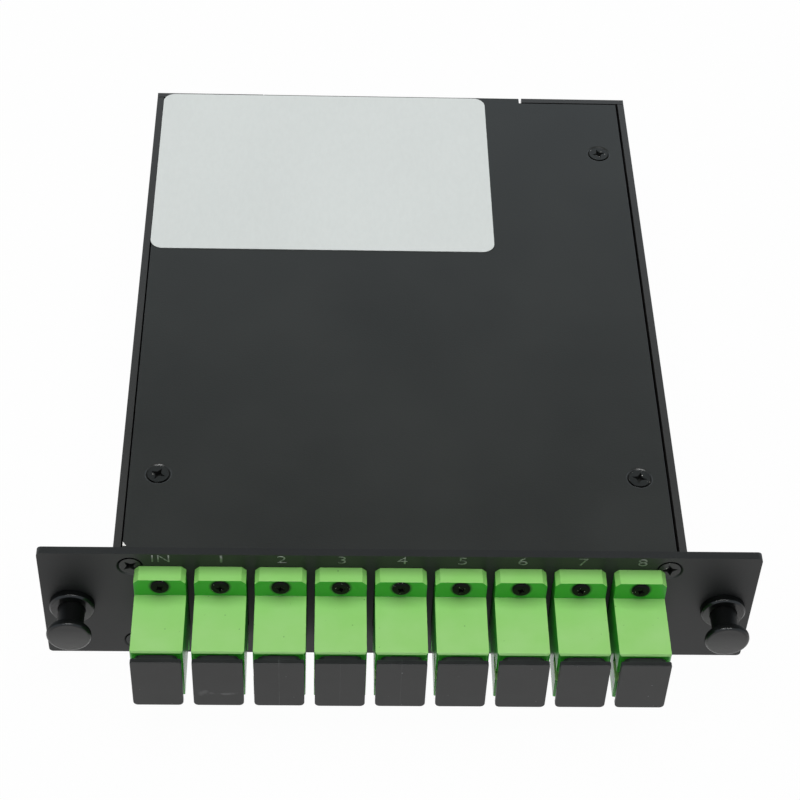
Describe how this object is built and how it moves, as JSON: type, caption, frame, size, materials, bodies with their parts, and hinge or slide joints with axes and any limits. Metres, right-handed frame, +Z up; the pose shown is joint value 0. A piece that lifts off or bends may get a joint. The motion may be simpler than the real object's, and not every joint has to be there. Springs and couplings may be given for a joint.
{
  "type": "fibre splitter cassette",
  "caption": "Rack cassette with a flat panel, a row of capped green fibre adapters, push-pull latches and a closed tray holding an optical splitter.",
  "frame": {"origin": "midway between the two latch barrels, on the front panel's rear face", "axes": "+X to the right along the panel, +Y from the panel to the tray's rear, +Z up"},
  "size_m": [0.13, 0.1498, 0.0286],
  "materials": {
    "black_powder_coat": "fine-textured matt black powder coat on steel",
    "label_paper": "satin white sticker",
    "black_screw_steel": "black-plated steel",
    "black_latch_plastic": "satin black nylon",
    "green_adapter_plastic": "satin light green moulding",
    "black_cap_plastic": "satin charcoal soft plastic",
    "green_connector_plastic": "satin green moulding",
    "white_insert_plastic": "natural white moulding",
    "sleeve_ceramic": "polished white zirconia",
    "splitter_steel": "satin stainless tube",
    "fibre_jacket": "smooth white loose tube"
  },
  "bodies": {
    "cassette": {"body_tray": "black_powder_coat", "top_cover": "black_powder_coat", "front_panel": "black_powder_coat", "blank_label": "label_paper", "cover_screws": "black_screw_steel", "panel_screws": "black_screw_steel", "adapter_screws": "black_screw_steel", "cover_bracket_front_left": "black_powder_coat", "cover_bracket_front_right": "black_powder_coat", "cover_bracket_rear_left": "black_powder_coat", "cover_bracket_rear_right": "black_powder_coat", "latch_grommet_left": "black_latch_plastic", "latch_grommet_right": "black_latch_plastic", "adapter_in": "green_adapter_plastic", "adapter_1": "green_adapter_plastic", "adapter_2": "green_adapter_plastic", "adapter_3": "green_adapter_plastic", "adapter_4": "green_adapter_plastic", "adapter_5": "green_adapter_plastic", "adapter_6": "green_adapter_plastic", "adapter_7": "green_adapter_plastic", "adapter_8": "green_adapter_plastic", "connector_in": "green_connector_plastic", "connector_1": "green_connector_plastic", "connector_2": "green_connector_plastic", "connector_3": "green_connector_plastic", "connector_4": "green_connector_plastic", "connector_5": "green_connector_plastic", "connector_6": "green_connector_plastic", "connector_7": "green_connector_plastic", "connector_8": "green_connector_plastic", "sleeve_holders": "white_insert_plastic", "alignment_sleeves": "sleeve_ceramic", "splitter_module": "splitter_steel", "module_clips": "white_insert_plastic", "fibre_coil": "fibre_jacket", "coil_clips": "white_insert_plastic", "input_fibre": "fibre_jacket", "output_fibres": "fibre_jacket"},
    "cap_in": {"dust_cap_in": "black_cap_plastic"},
    "cap_1": {"dust_cap_1": "black_cap_plastic"},
    "cap_2": {"dust_cap_2": "black_cap_plastic"},
    "cap_3": {"dust_cap_3": "black_cap_plastic"},
    "cap_4": {"dust_cap_4": "black_cap_plastic"},
    "cap_5": {"dust_cap_5": "black_cap_plastic"},
    "cap_6": {"dust_cap_6": "black_cap_plastic"},
    "cap_7": {"dust_cap_7": "black_cap_plastic"},
    "cap_8": {"dust_cap_8": "black_cap_plastic"},
    "plunger_left": {"latch_plunger_left": "black_latch_plastic"},
    "plunger_right": {"latch_plunger_right": "black_latch_plastic"}
  },
  "joints": [
    {"name": "cap_in_pull", "type": "slide", "parent": "cassette", "child": "cap_in", "axis": [0, -1, 0], "range_m": [0, 0.02]},
    {"name": "cap_1_pull", "type": "slide", "parent": "cassette", "child": "cap_1", "axis": [0, -1, 0], "range_m": [0, 0.02]},
    {"name": "cap_2_pull", "type": "slide", "parent": "cassette", "child": "cap_2", "axis": [0, -1, 0], "range_m": [0, 0.02]},
    {"name": "cap_3_pull", "type": "slide", "parent": "cassette", "child": "cap_3", "axis": [0, -1, 0], "range_m": [0, 0.02]},
    {"name": "cap_4_pull", "type": "slide", "parent": "cassette", "child": "cap_4", "axis": [0, -1, 0], "range_m": [0, 0.02]},
    {"name": "cap_5_pull", "type": "slide", "parent": "cassette", "child": "cap_5", "axis": [0, -1, 0], "range_m": [0, 0.02]},
    {"name": "cap_6_pull", "type": "slide", "parent": "cassette", "child": "cap_6", "axis": [0, -1, 0], "range_m": [0, 0.02]},
    {"name": "cap_7_pull", "type": "slide", "parent": "cassette", "child": "cap_7", "axis": [0, -1, 0], "range_m": [0, 0.02]},
    {"name": "cap_8_pull", "type": "slide", "parent": "cassette", "child": "cap_8", "axis": [0, -1, 0], "range_m": [0, 0.02]},
    {"name": "plunger_left_push", "type": "slide", "parent": "cassette", "child": "plunger_left", "axis": [0, 1, 0], "range_m": [0, 0.0042]},
    {"name": "plunger_right_push", "type": "slide", "parent": "cassette", "child": "plunger_right", "axis": [0, 1, 0], "range_m": [0, 0.0042]}
  ]
}
